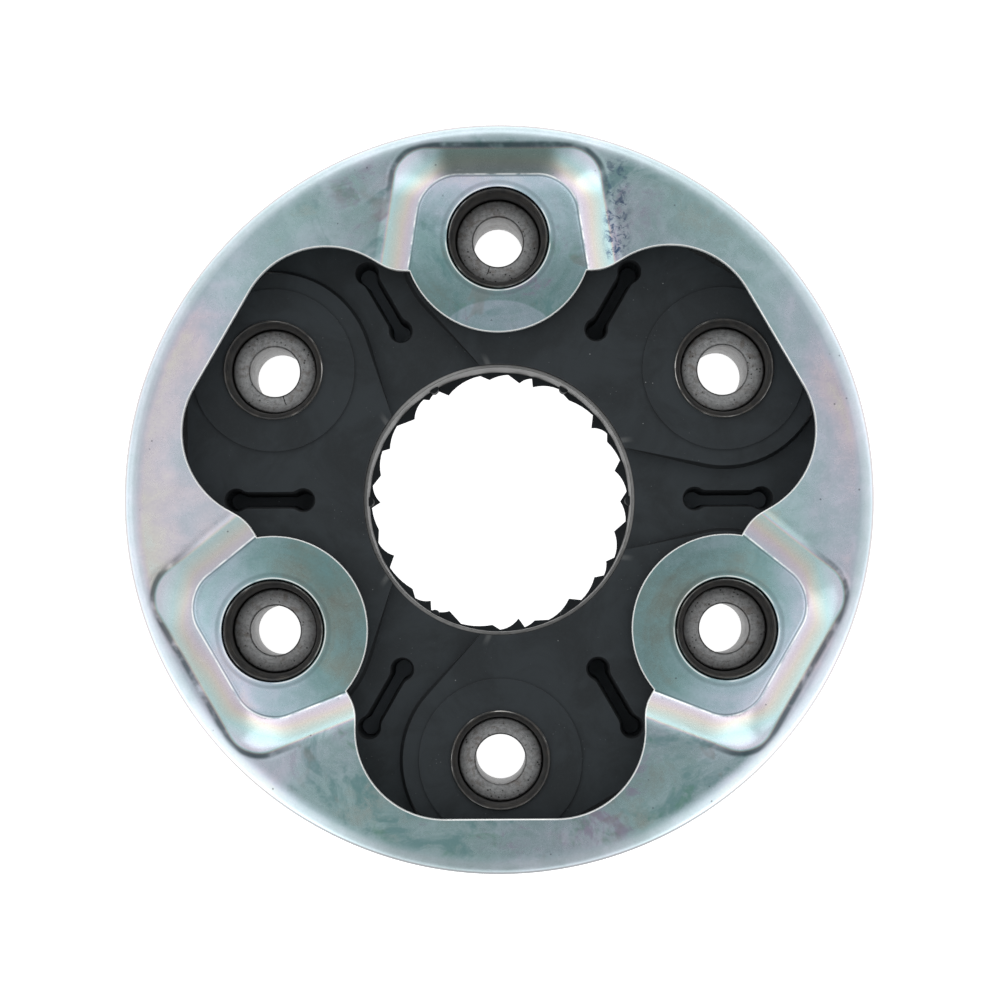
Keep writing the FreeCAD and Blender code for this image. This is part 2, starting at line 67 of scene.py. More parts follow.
class Value:
    """One shader socket that takes part in Python sums."""

    def __init__(self, tree, out):
        self.tree = tree
        self.out = out

    def node(self, kind, settings, sockets, out=0, family="Shader"):
        made = self.tree.nodes.new(family + "Node" + kind)
        for name, value in settings.items():
            if name == "stops":
                ramp = made.color_ramp
                ramp.elements[0].position, ramp.elements[0].color = value[0]
                ramp.elements[1].position, ramp.elements[1].color = value[-1]
                for place, colour in value[1:-1]:
                    ramp.elements.new(place).color = colour
            else:
                setattr(made, name, value)
        for name, value in sockets.items():
            if isinstance(value, Value):
                self.tree.links.new(value.out, made.inputs[name])
            else:
                made.inputs[name].default_value = value
        return Value(self.tree, made.outputs[out])

    def sum_of(self, operation, first, second=0.0):
        return self.node("Math", {"operation": operation}, {0: first, 1: second})

    def __add__(self, other):
        return self.sum_of("ADD", self, other)

    def __radd__(self, other):
        return self.sum_of("ADD", other, self)

    def __sub__(self, other):
        return self.sum_of("SUBTRACT", self, other)

    def __rsub__(self, other):
        return self.sum_of("SUBTRACT", other, self)

    def __mul__(self, other):
        return self.sum_of("MULTIPLY", self, other)

    def __rmul__(self, other):
        return self.sum_of("MULTIPLY", other, self)

    def __truediv__(self, other):
        return self.sum_of("DIVIDE", self, other)

    def __pow__(self, other):
        return self.sum_of("POWER", self, other)

    def at_least(self, other):
        return self.sum_of("MAXIMUM", self, other)

    def at_most(self, other):
        return self.sum_of("MINIMUM", self, other)

    def through(self, function):
        return self.node("Math", {"operation": function}, {0: self})

    def size(self):
        return self.through("ABSOLUTE")

    def toward(self, other, share):
        """This number at share 0, the other at share 1."""
        return self + (other - self) * share

    def fade(self, start, end):
        """0 before start, 1 after end, smooth between."""
        return self.node("MapRange", {"interpolation_type": "SMOOTHSTEP"},
                         {0: self, 1: start, 2: end, 3: 0.0, 4: 1.0})

    def scaled(self, x, y, z):
        return self.node("Mapping", {}, {"Vector": self, "Scale": (x, y, z)})

    def noise(self, scale, detail=3.0, roughness=0.5, twist=0.0):
        return self.node("TexNoise", {}, {"Vector": self, "Scale": scale, "Detail": detail,
                                          "Roughness": roughness, "Distortion": twist})

    def cells(self, scale):
        return self.node("TexVoronoi", {}, {"Vector": self, "Scale": scale})

    def parts(self):
        split = self.node("SeparateXYZ", {}, {0: self})
        outs = split.out.node.outputs
        return [Value(self.tree, outs[i]) for i in range(3)]

    def joined(self, x, y, z):
        return self.node("CombineXYZ", {}, {0: x, 1: y, 2: z})

    def blend(self, first, second):
        """Colour from first to second as this value goes from 0 to 1."""
        return self.node("Mix", {"data_type": "RGBA"}, {0: self, 6: first, 7: second}, out=2)

    def shade(self, stops):
        return self.node("ValToRGB", {"stops": stops}, {0: self})

    def times(self, number):
        """A colour made darker or lighter by a number, kept under white."""
        lit = self.node("VectorMath", {"operation": "SCALE"}, {0: self, "Scale": number})
        return lit.node("VectorMath", {"operation": "MINIMUM"}, {0: lit, 1: (0.95, 0.95, 0.95)})

    def bump(self, strength, distance, under=None):
        sockets = {"Height": self, "Strength": strength, "Distance": distance}
        if under is not None:
            sockets["Normal"] = under
        return self.node("Bump", {}, sockets)


def new_finish(name):
    """A material, its coordinates in millimetres and a call that feeds its shader."""
    material = bpy.data.materials.new(name)
    material.use_nodes = True
    tree = material.node_tree
    shader = next(n for n in tree.nodes if n.type == "BSDF_PRINCIPLED")
    place = tree.nodes.new("ShaderNodeTexCoord")
    metres = Value(tree, place.outputs["Object"])
    mm = metres.node("VectorMath", {"operation": "SCALE"}, {0: metres, "Scale": 1000.0})

    def feed(**sockets):
        for key, value in sockets.items():
            socket = shader.inputs[key.replace("_", " ")]
            if isinstance(value, Value):
                tree.links.new(value.out, socket)
            else:
                socket.default_value = value
    return material, mm, feed


def bush_axis(place):
    """Centre of a bush on the bolt circle, from its own solid."""
    low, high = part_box("bush_%d" % place)
    return (low + high) / 2


def around(mm, centre):
    """Distance from an upright axis and the angle round it, for a pattern."""
    x, y, z = mm.parts()
    dx = x - centre.x / MM
    dy = y - centre.y / MM
    return (dx * dx + dy * dy) ** 0.5, dy.sum_of("ARCTAN2", dy, dx), z


def steel_face(name, centre, seed):
    """Bare turned steel: fine rings, brown stains and black pits."""
    material, mm, feed = new_finish(name)
    radius, angle, z = around(mm, centre)
    moved = mm.node("VectorMath", {"operation": "ADD"}, {0: mm, 1: (seed * 31.0, seed * 17.0, 0.0)})
    rings = mm.joined(radius * 9.0, angle * 0.35, z * 9.0).noise(1.0, 4.0, 0.6)
    cloud = moved.noise(0.28, 4.0, 0.6)
    rough = moved.noise(1.3, 5.0, 0.75)
    pits = moved.noise(1.6, 5.0, 0.7).fade(0.61, 0.68)
    stain = moved.noise(0.4, 4.0, 0.65, 0.6).fade(0.5, 0.68)
    body = rings.shade([(0.25, (0.2, 0.205, 0.21, 1)), (0.55, (0.34, 0.343, 0.345, 1)),
                        (0.8, (0.5, 0.5, 0.5, 1))])
    body = (cloud.fade(0.4, 0.75) * 0.6).blend(body, (0.24, 0.24, 0.24, 1))
    body = (rough.fade(0.48, 0.66) * 0.45).blend(body, (0.5, 0.5, 0.5, 1))
    body = ((1.0 - rough.fade(0.34, 0.5)) * 0.5).blend(body, (0.13, 0.125, 0.12, 1))
    body = (stain * 0.5).blend(body, (0.13, 0.095, 0.075, 1))
    body = (pits * 0.9).blend(body, (0.018, 0.016, 0.015, 1))
    spots = (1.0 - moved.cells(1.15).fade(0.16, 0.26)) * moved.noise(0.45, 2.0).fade(0.47, 0.58)
    body = (spots * 0.85).blend(body, (0.02, 0.018, 0.017, 1))
    wander = rough * 0.5 - 0.25
    crack = 1.0 - ((angle - CRACK_TURN[seed]) * radius + wander).size().fade(0.05, 0.13)
    crack = crack * radius.fade(4.9, 5.1) * (1.0 - radius.fade(6.9, 7.3)) * CRACKED[seed]
    body = (crack * 0.95).blend(body, (0.01, 0.01, 0.01, 1))
    feed(Base_Color=body, Metallic=0.9 - pits * 0.5,
         Roughness=0.36 + cloud * 0.2 + pits * 0.2,
         Normal=rings.bump(0.35, 0.02 * MM, pits.bump(0.5, -0.03 * MM)))
    return material


def lathe(name, outline, centre, turns=96, plug=False):
    """Ring, or plug closed at both ends, turned from (radius, z) corners in millimetres."""
    mesh = bmesh.new()
    rows = []
    for radius, z in outline:
        row = []
        for i in range(turns):
            angle = 2 * math.pi * i / turns
            row.append(mesh.verts.new((centre.x + radius * MM * math.cos(angle),
                                       centre.y + radius * MM * math.sin(angle), z * MM)))
        rows.append(row)
    if plug:
        mesh.faces.new(rows[0])
        mesh.faces.new(rows[-1])
    for a, b in zip(rows, rows[1:] + ([] if plug else rows[:1])):
        for i in range(turns):
            j = (i + 1) % turns
            mesh.faces.new((a[i], a[j], b[j], b[i]))
    return solid_piece(name, mesh)


def solid_piece(name, mesh, crease=38):
    """A bmesh as an object of its own, faces outwards, smooth up to the crease angle."""
    bmesh.ops.recalc_face_normals(mesh, faces=mesh.faces)
    data = bpy.data.meshes.new(name)
    mesh.to_mesh(data)
    mesh.free()
    return smooth_piece(name, data, crease)


def smooth_piece(name, data, crease=38):
    data.polygons.foreach_set("use_smooth", [True] * len(data.polygons))
    data.set_sharp_from_angle(angle=math.radians(crease))
    piece = bpy.data.objects.new(name, data)
    bpy.context.scene.collection.objects.link(piece)
    return piece


def finished(piece, material, slot, *nodes):
    """Gives a piece its one material, its body and the solids it stands for; the slot is not used.
    """
    piece.data.materials.clear()
    piece.data.materials.append(material)
    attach(piece, "root")
    if nodes:
        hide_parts(*nodes)
    return piece


BUSH_R = 8.4
CRACK_TURN = {1: -1.9, 2: 2.6, 3: 0.4, 4: 2.2, 5: 1.1, 6: -1.25}
CRACKED = {1: 1.0, 2: 0.0, 3: 0.0, 4: 0.0, 5: 0.0, 6: 1.0}
BORE_R = 5.05
BORE_EDGE = 0.28
FACE_EDGE = 0.3
for place in PLACES:
    low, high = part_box("bush_%d" % place)
    rear = low.z / MM
    front = high.z / MM
    turned = lathe("turned_bush_%d" % place, [
        (BORE_R, rear + BORE_EDGE), (BORE_R + BORE_EDGE, rear), (BUSH_R - FACE_EDGE, rear),
        (BUSH_R - FACE_EDGE / 3, rear + FACE_EDGE / 3), (BUSH_R, rear + FACE_EDGE),
        (BUSH_R, front - FACE_EDGE), (BUSH_R - FACE_EDGE / 3, front - FACE_EDGE / 3),
        (BUSH_R - FACE_EDGE, front), (BORE_R + BORE_EDGE, front), (BORE_R, front - BORE_EDGE),
    ], bush_axis(place))
    finished(turned, steel_face("bare_steel_%d" % place, bush_axis(place), place), "bush",
             "bush_%d" % place)


# The collars are pressed from thin steel, phosphated dark grey, and pushed on
# both ends of each bush. Their mouths are funnelled and partly worn bright on
# the rim, and their flanges are moulded into the rubber.
def phosphate(name, centre, seed):
    """Dark grey phosphate, worn to bare steel on parts of the mouth's rim and in scuffs."""
    material, mm, feed = new_finish(name)
    radius, angle, z = around(mm, centre)
    moved = mm.node("VectorMath", {"operation": "ADD"}, {0: mm, 1: (seed * 23.0, seed * 41.0, 0.0)})
    cloud = moved.noise(0.5, 4.0, 0.6)
    wear = mm.joined(radius * 3.0, angle * 1.3 + float(seed), z * 3.0).noise(1.2, 3.0, 0.6)
    grain = moved.noise(7.0, 2.0, 0.6)
    rim = (radius - COLLAR_RIM_R).fade(0.0, 0.08)
    bare = (rim * wear.fade(0.53, 0.63)).at_least(wear.fade(0.62, 0.74) * 0.3)
    streak = mm.joined(radius * 0.6, angle * 9.0, z * 0.6).noise(1.0, 4.0, 0.7).fade(0.5, 0.72)
    body = cloud.fade(0.35, 0.7).blend((0.036, 0.037, 0.038, 1), (0.066, 0.062, 0.057, 1))
    body = (streak * 0.35).blend(body, (0.12, 0.105, 0.09, 1))
    body = (bare * 0.85).blend(body, (0.62, 0.61, 0.59, 1))
    feed(Base_Color=body, Metallic=0.55 + bare * 0.4, Roughness=0.46 - bare * 0.18 + cloud * 0.1,
         Normal=grain.bump(0.3, 0.02 * MM))
    return material


COLLAR_R = 10.05
COLLAR_RIM_R = 9.78
COLLAR_SEAT_R = 8.4
COLLAR_RELIEF_R = 8.7
RELIEF_DEPTH = 9.0
FLANGE_R = 15.5
FLANGE_LOW = 3.6
FLANGE_HIGH = 2.0
for place in PLACES:
    centre = bush_axis(place)
    coating = phosphate("phosphate_%d" % place, centre, place)
    for side in ("front", "rear"):
        node = "%s_collar_%d" % (side, place)
        low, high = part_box(node)
        mouth = high.z / MM if side == "front" else low.z / MM
        inner = low.z / MM if side == "front" else high.z / MM
        out = 1 if side == "front" else -1
        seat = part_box("front_collar_2")[1].z / MM if side == "front" else 0.0
        outline = [
            (COLLAR_SEAT_R, inner), (COLLAR_R, inner), (COLLAR_R, seat - out * FLANGE_LOW),
            (FLANGE_R, seat - out * FLANGE_LOW),
            (FLANGE_R, seat - out * FLANGE_HIGH), (COLLAR_R, seat - out * FLANGE_HIGH),
            (COLLAR_R, mouth - out * 0.25), (COLLAR_R - 0.08, mouth - out * 0.07),
            (COLLAR_R - 0.2, mouth), (COLLAR_R - 0.34, mouth - out * 0.05),
            (COLLAR_R - 0.5, mouth - out * 0.25), (COLLAR_R - 0.85, mouth - out * 1.1),
            (COLLAR_R - 1.12, mouth - out * 2.0), (COLLAR_RELIEF_R, mouth - out * 3.2),
            (COLLAR_RELIEF_R, seat - out * RELIEF_DEPTH), (COLLAR_SEAT_R, seat - out * RELIEF_DEPTH),
        ]
        collar = lathe("pressed_" + node, outline, centre)
        finished(collar, coating, "collar", node)


# The cord loops are polyester cord wound round neighbouring pairs of bushes and
# rubbered. They carry the pull, and the moulded rubber seals them in, so they
# only show if the body is cut open.
def rubbered_cord():
    material, mm, feed = new_finish("rubbered_cord")
    x, y, z = mm.parts()
    strand = mm.joined(z * 1.0, x * 0.15, y * 0.15).noise(4.0, 2.0, 0.5)
    fibre = mm.noise(3.0, 3.0, 0.6)
    body = strand.shade([(0.3, (0.2, 0.16, 0.1, 1)), (0.7, (0.48, 0.42, 0.3, 1))])
    feed(Base_Color=fibre.fade(0.4, 0.8).blend(body, (0.12, 0.1, 0.08, 1)), Roughness=0.85,
         Normal=strand.bump(0.6, 0.2 * MM))
    return material


WINDING_INPUTS = {"Chord": "Float", "Middle Radius": "Float", "Strand": "Float", "Layers": "Int",
                  "Rows": "Int", "Turn": "Rotation", "Place": "Vector", "Finish": "Material"}


def winding_tree():
    """Strands side by side and in layers, all round a closed racetrack path."""
    tree = bpy.data.node_groups.new("cord_winding", "GeometryNodeTree")
    for name, kind in WINDING_INPUTS.items():
        tree.interface.new_socket(name=name, in_out="INPUT", socket_type="NodeSocket" + kind)
    tree.interface.new_socket(name="Geometry", in_out="OUTPUT", socket_type="NodeSocketGeometry")
    given = tree.nodes.new("NodeGroupInput").outputs
    chord, middle, strand, layers, rows, turn, place, finish = [
        Value(tree, given[name]) for name in WINDING_INPUTS]

    def step(kind, settings=None, **sockets):
        named = {key.replace("_", " "): value for key, value in sockets.items()}
        return chord.node(kind, settings or {}, named, family="Geometry")

    path = step("CurvePrimitiveQuadrilateral", Width=chord + middle * 2.0, Height=middle * 2.0)
    path = step("FilletCurve", {"mode": "POLY"}, Curve=path, Count=10, Radius=middle,
                Limit_Radius=True)
    section = step("MeshGrid", Size_X=(layers - 1.0) * strand, Size_Y=(rows - 1.0) * strand,
                   Vertices_X=layers, Vertices_Y=rows)
    circle = step("CurvePrimitiveCircle", Resolution=8, Radius=strand * 0.5)
    section = step("RealizeInstances", Geometry=step("InstanceOnPoints", Points=section,
                                                     Instance=circle))
    strands = step("CurveToMesh", Curve=path, Profile_Curve=section)
    strands = step("Transform", Geometry=strands, Translation=place, Rotation=turn)
    strands = step("SetShadeSmooth", Geometry=strands)
    strands = step("SetMaterial", Geometry=step("RealizeInstances", Geometry=strands),
                   Material=finish)
    tree.links.new(strands.out, tree.nodes.new("NodeGroupOutput").inputs["Geometry"])
    return tree


STRAND = 1.36 * MM
LOOP_INNER_R = COLLAR_R * MM
LOOP_OUTER_R = 15.6 * MM
BUSH_PITCH = 52.5 * MM
cord = rubbered_cord()
winding = winding_tree()
inputs = {item.name: item.identifier for item in winding.interface.items_tree
          if item.in_out == "INPUT"}
for name in sorted(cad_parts):
    if "_loop_" not in name:
        continue
    low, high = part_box(name)
    middle = (low + high) / 2
    loop = bpy.data.objects.new("wound_" + name, bpy.data.meshes.new("wound_" + name))
    bpy.context.scene.collection.objects.link(loop)
    wind = loop.modifiers.new("winding", "NODES")
    wind.node_group = winding
    given = {"Chord": BUSH_PITCH, "Middle Radius": (LOOP_INNER_R + LOOP_OUTER_R) / 2,
             "Strand": STRAND, "Layers": int((LOOP_OUTER_R - LOOP_INNER_R) / STRAND),
             "Rows": int((high.z - low.z) / STRAND), "Finish": cord, "Place": middle,
             "Turn": (0.0, 0.0, math.atan2(middle.y, middle.x) + math.pi / 2)}
    for key, value in given.items():
        wind[inputs[key]] = value
    laid = bpy.data.meshes.new_from_object(
        loop.evaluated_get(bpy.context.evaluated_depsgraph_get()))
    loop.modifiers.clear()
    loop.data = laid
    finished(loop, cord, "cord", name)


# The rubber body is moulded in one shot round the bushes, collars and cords. It is
# matt black with grey bloom and dust specks. At the front, shade is painted darker on
# its walls and highlights paler on its rounded edges; light is painted paler on the
# floors of its blind slots, and short pale lines are painted beside the sleeve where
# the web steps end. A thin skin lines its rear bore.
THIRD = math.radians(120)
STEP_END_TURN = math.radians(25.5)
STEP_END_R = 27.4
FRONT_LOW = 29.0
FRONT_HIGH = 31.0


def moulded_rubber():
    material, mm, feed = new_finish("moulded_rubber")
    cloud = mm.noise(0.09, 5.0, 0.65, 0.6)
    fine = mm.noise(1.8, 3.0, 0.6)
    grain = mm.noise(9.0, 2.0, 0.7)
    dust = mm.cells(0.33)
    speck = (1.0 - dust.fade(0.018, 0.05)) * mm.noise(0.35, 2.0).fade(0.52, 0.62)
    flecks = (1.0 - mm.cells(1.1).fade(0.05, 0.11)) * mm.noise(0.2, 2.0).fade(0.54, 0.66)
    x, y, z = mm.parts()
    level = mm.node("Attribute", {"attribute_name": "level"}, {}, out=2)
    # How steep each face stands; at the front the steep walls get painted shade.
    steep_shade = 1.0 - level.fade(0.72, 0.96)
    front = z.fade(FRONT_LOW, FRONT_HIGH)
    # Painted highlight: the rounded front edges, between wall and top, are painted paler.
    rounded = level.fade(0.86, 0.93) * (1.0 - level.fade(0.985, 0.998)) * front
    radius = (x * x + y * y) ** 0.5
    # Painted light: the floors of the blind slots are painted pale, as if lit.
    slot_floor_light = z.fade(8.0, 11.0) * (1.0 - z.fade(23.0, 24.5)) * radius.fade(34.0, 36.0)
    slot_floor_light = slot_floor_light * (1.0 - steep_shade)
    steep_shade = steep_shade * front
    turn = y.sum_of("ARCTAN2", y, x)
    turn = (turn - (turn / THIRD).through("ROUND") * THIRD).size()
    # Short pale lines painted beside the sleeve, either side of each web, where its steps end.
    step_end_line = 1.0 - (turn - STEP_END_TURN + (radius - STEP_END_R) * 0.012).size().fade(0.006, 0.03)
    step_end_line = step_end_line * (1.0 - (radius - STEP_END_R).fade(0.2, 2.6)) * z.fade(31.0, 32.0)
    body = cloud.fade(0.36, 0.66).blend((0.0115, 0.015, 0.0175, 1), (0.0205, 0.026, 0.03, 1))
    body = (fine.fade(0.45, 0.8) * 0.3).blend(body, (0.026, 0.031, 0.034, 1))
    body = (speck.at_least(flecks * 0.5) * 0.6).blend(body, (0.3, 0.32, 0.32, 1))
    # Painted shade: the front walls darkened nearly to black.
    body = (steep_shade * 0.75).blend(body, (0.004, 0.005, 0.006, 1))
    body = (rounded * 0.6).blend(body, (0.05, 0.056, 0.06, 1))
    body = (slot_floor_light * 0.75).blend(body, (0.2, 0.23, 0.26, 1))
    body = (step_end_line * 0.45).blend(body, (0.11, 0.115, 0.115, 1))
    feed(Base_Color=body, Roughness=0.55 + cloud * 0.25 + fine * 0.1, Specular_IOR_Level=0.3,
         Normal=grain.bump(0.25, 0.03 * MM, fine.bump(0.2, 0.05 * MM)))
    return material


rubber = moulded_rubber()
MERGE_MM = 0.002
CORNER_MM = 0.22
body_mesh = bmesh.new()
body_mesh.from_mesh(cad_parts["rubber_body"].data)
bmesh.ops.remove_doubles(body_mesh, verts=body_mesh.verts, dist=MERGE_MM * MM)
bmesh.ops.dissolve_limit(body_mesh, angle_limit=math.radians(0.5), verts=body_mesh.verts,
                         edges=body_mesh.edges)
data = bpy.data.meshes.new("moulded_body")
body_mesh.to_mesh(data)
body_mesh.free()
moulded = smooth_piece("moulded_body", data, 30)
rounding = moulded.modifiers.new("moulded_corners", "BEVEL")
rounding.width = CORNER_MM * MM
rounding.segments = 2
rounding.limit_method = "ANGLE"
rounding.angle_limit = math.radians(28)
flats = moulded.modifiers.new("flat_faces", "WEIGHTED_NORMAL")
flats.keep_sharp = False
flats.weight = 90
rounded = bpy.data.meshes.new_from_object(
    moulded.evaluated_get(bpy.context.evaluated_depsgraph_get()))
moulded.modifiers.clear()
moulded.data = rounded
# Each face's upright share, read by the rubber's shader to paint shade on walls and highlights on
# rounded edges.
level_mark = rounded.attributes.new("level", "FLOAT", "FACE")
level_mark.data.foreach_set("value", [abs(face.normal.z) for face in rounded.polygons])
finished(moulded, rubber, "rubber", "rubber_body")

# The skin closes the flared bore behind the sleeve, over the moulded-in cords.
SKIN_FOOT = (29.45, 3.2)
SKIN_HEAD = (28.45, 14.4)
SKIN_WALL = 0.55
skin_line = [SKIN_FOOT, SKIN_HEAD, (SKIN_HEAD[0] + SKIN_WALL, SKIN_HEAD[1]),
             (SKIN_FOOT[0] + SKIN_WALL, SKIN_FOOT[1])]
finished(lathe("bore_skin", skin_line, Vector((0, 0, 0)), 240), rubber, "rubber")


# The centre sleeve is a short rolled steel tube, bonded into the rubber's bore.
# It is plain drawn steel, dulled by moulding; its top face carries a painted highlight and it is
# painted paler toward the top lamp.
def drawn_steel():
    material, mm, feed = new_finish("drawn_steel")
    radius, angle, z = around(mm, Vector((0, 0, 0)))
    lines = mm.joined(angle * 14.0, z * 0.25, radius).noise(1.6, 3.0, 0.6)
    cloud = mm.noise(0.3, 3.0, 0.6)
    body = cloud.fade(0.35, 0.7).blend((0.085, 0.087, 0.086, 1), (0.14, 0.138, 0.134, 1))
    body = (lines.fade(0.5, 0.8) * 0.35).blend(body, (0.19, 0.19, 0.185, 1))
    # Painted highlight: the top face and its chamfer painted paler.
    body = z.fade(sleeve_front - 0.12, sleeve_front - 0.02).blend(body, (0.3, 0.3, 0.296, 1))
    # Painted light: paler toward the top lamp at +y, with streaks from the drawn lines.
    body = body.times(0.6 + mm.parts()[1].fade(-5.0, 27.0) * 0.28 + (lines - 0.5) * 0.5)
    feed(Base_Color=body, Metallic=0.75, Roughness=0.42 + cloud * 0.15,
         Normal=lines.bump(0.25, 0.02 * MM))
    return material


sleeve_low, sleeve_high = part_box("centre_sleeve")
SLEEVE_R = sleeve_high.x / MM
SLEEVE_WALL = 0.65
SLEEVE_EDGE = 0.12
sleeve_rear = sleeve_low.z / MM
sleeve_front = sleeve_high.z / MM
sleeve = lathe("rolled_sleeve", [
    (SLEEVE_R - SLEEVE_WALL, sleeve_rear), (SLEEVE_R, sleeve_rear),
    (SLEEVE_R, sleeve_front - SLEEVE_EDGE), (SLEEVE_R - SLEEVE_EDGE, sleeve_front),
    (SLEEVE_R - SLEEVE_WALL + SLEEVE_EDGE, sleeve_front),
    (SLEEVE_R - SLEEVE_WALL, sleeve_front - SLEEVE_EDGE),
], Vector((0, 0, 0)), 240)
finished(sleeve, drawn_steel(), "sleeve", "centre_sleeve")


# The ring plate is pressed from steel sheet: a flat ring with a rolled-down rim
# and three sunk lobes round every second bush. It is zinc plated and passivated,
# so it shimmers from blue-green to pink, with stamped bright edges that are partly
# painted highlight. Its brightness from place to place is painted reflection, with
# painted shade on its bends and walls and painted highlights along its floor lines.
plate_low, plate_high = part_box("ring_plate")
PLATE_R = plate_high.x / MM
RING_TOP = plate_high.z / MM
RIM_LOW = plate_low.z / MM
BOLT_R = 52.5
SHEET = 2.5
DROP = 4.5
LOBE_TOP = RING_TOP - DROP
LOBE_R = 19.0
EAR_Y = BOLT_R - 6.6
FLOOR_REACH = BOLT_R + 12.7
FLOOR_HALF = 15.1
FLOOR_CORNER = 7.0
RAMP_RUN = 5.3
SIDE_RUN = 5.0
CORNER_GROWTH = -1.0
SIDE_TAPER = 0.155
SCALLOP_REACH = 63.85
SCALLOP_HALF = 28.85
SCALLOP_R = 17.75
KNEE_R = 8.0
RIM_BEND = 2.8
SIXTH = math.radians(60)


def turned_point(x, y, angle):
    return (x * math.cos(angle) - y * math.sin(angle), x * math.sin(angle) + y * math.cos(angle))


def arc_points(cx, cy, r, start, end, steps):
    """Points on an arc, the last one left out, angles in radians."""
    return [(cx + r * math.cos(start + (end - start) * i / steps),
             cy + r * math.sin(start + (end - start) * i / steps)) for i in range(steps)]


def line_points(a, b, steps):
    return [(a[0] + (b[0] - a[0]) * i / steps, a[1] + (b[1] - a[1]) * i / steps)
            for i in range(steps)]


def half_outline():
    """Sheared edge from the tip of a lobe to the middle of the next scallop."""
    ear_x = math.sqrt(LOBE_R ** 2 - (BOLT_R - EAR_Y) ** 2)
    ear = math.atan2(EAR_Y - BOLT_R, ear_x)
    points = arc_points(0, BOLT_R, LOBE_R, -math.pi / 2, ear, 44)
    along = (EAR_Y - SCALLOP_HALF * math.sin(SIXTH)) / math.cos(SIXTH)
    knee_x = -SCALLOP_HALF * math.cos(SIXTH) + along * math.sin(SIXTH)
    slope = math.pi / 2 - SIXTH
    reach = KNEE_R * math.tan(slope / 2)
    points += line_points((ear_x, EAR_Y), (knee_x - reach, EAR_Y), 4)
    points += arc_points(knee_x - reach, EAR_Y + KNEE_R, KNEE_R, -math.pi / 2,
                         -math.pi / 2 + slope, 6)
    shoulder = SCALLOP_REACH - SCALLOP_R
    side = line_points((-SCALLOP_HALF, along + reach), (-SCALLOP_HALF, shoulder), 3)
    side += arc_points(-SCALLOP_HALF + SCALLOP_R, shoulder, SCALLOP_R, math.pi, math.pi / 2, 32)
    side += line_points((-SCALLOP_HALF + SCALLOP_R, SCALLOP_REACH), (0, SCALLOP_REACH), 10)
    points += [turned_point(x, y, -SIXTH) for x, y in side]
    return points


def opening_outline():
    """The whole sheared edge, clockwise from the top lobe's tip."""
    first = half_outline()
    middle = turned_point(0, SCALLOP_REACH, -SIXTH)
    back = [turned_point(-x, y, -THIRD) for x, y in first[1:]]
    third = first + [middle] + back[::-1]
    return [turned_point(x, y, -THIRD * k) for k in range(3) for x, y in third]


def set_back(points, gap):
    """A closed outline moved outwards, into the sheet, by the gap."""
    moved = []
    before = points[-1:] + points[:-1]
    after = points[1:] + points[:1]
    for (ax, ay), (x, y), (bx, by) in zip(before, points, after):
        nx, ny = ay - by, bx - ax
        length = math.hypot(nx, ny)
        moved.append((x + nx / length * gap, y + ny / length * gap))
    return moved


def step_distance(u, v, share, offset):
    """Distance outside a lobe's floor line (share 0) or ring line (share 1)."""
    reach = FLOOR_REACH + RAMP_RUN * share + offset
    half = FLOOR_HALF + SIDE_RUN * share + offset + SIDE_TAPER * (reach - v)
    corner = FLOOR_CORNER + CORNER_GROWTH * share + offset
    across = (abs(u) - half) / math.hypot(1, SIDE_TAPER) + corner
    along = v - reach + corner
    return math.hypot(max(across, 0), max(along, 0)) + min(max(across, along), 0) - corner


def soft_step(t, low_k, high_k):
    """A straight ramp from 0 to 1, its foot and its head rounded."""
    gap = max(low_k - abs(t), 0) / low_k
    t = max(t, 0) + gap * gap * low_k / 4
    gap = max(high_k - abs(1 - t), 0) / high_k
    return min(t, 1) - gap * gap * high_k / 4


FOOT_ROUNDING = 0.07
HEAD_ROUNDING = 0.24
EDGE = 0.15
EDGE_STRIP = 0.12
FACE_STEPS = 60
BEND_STEPS = 8
BACK_STEPS = 20


def pressed_height(x, y, offset=0.0):
    """Height of the sheet's top over the floor of the lobes, as a share of the drop."""
    best = 1.0
    for k in range(3):
        u, v = turned_point(x, y, THIRD * k)
        if v < BOLT_R - LOBE_R - 3:
            continue
        inner = step_distance(u, v, 0, offset)
        outer = step_distance(u, v, 1, offset)
        share = inner / max(inner - outer, 1e-6)
        best = min(best, soft_step(share, FOOT_ROUNDING, HEAD_ROUNDING))
    return best


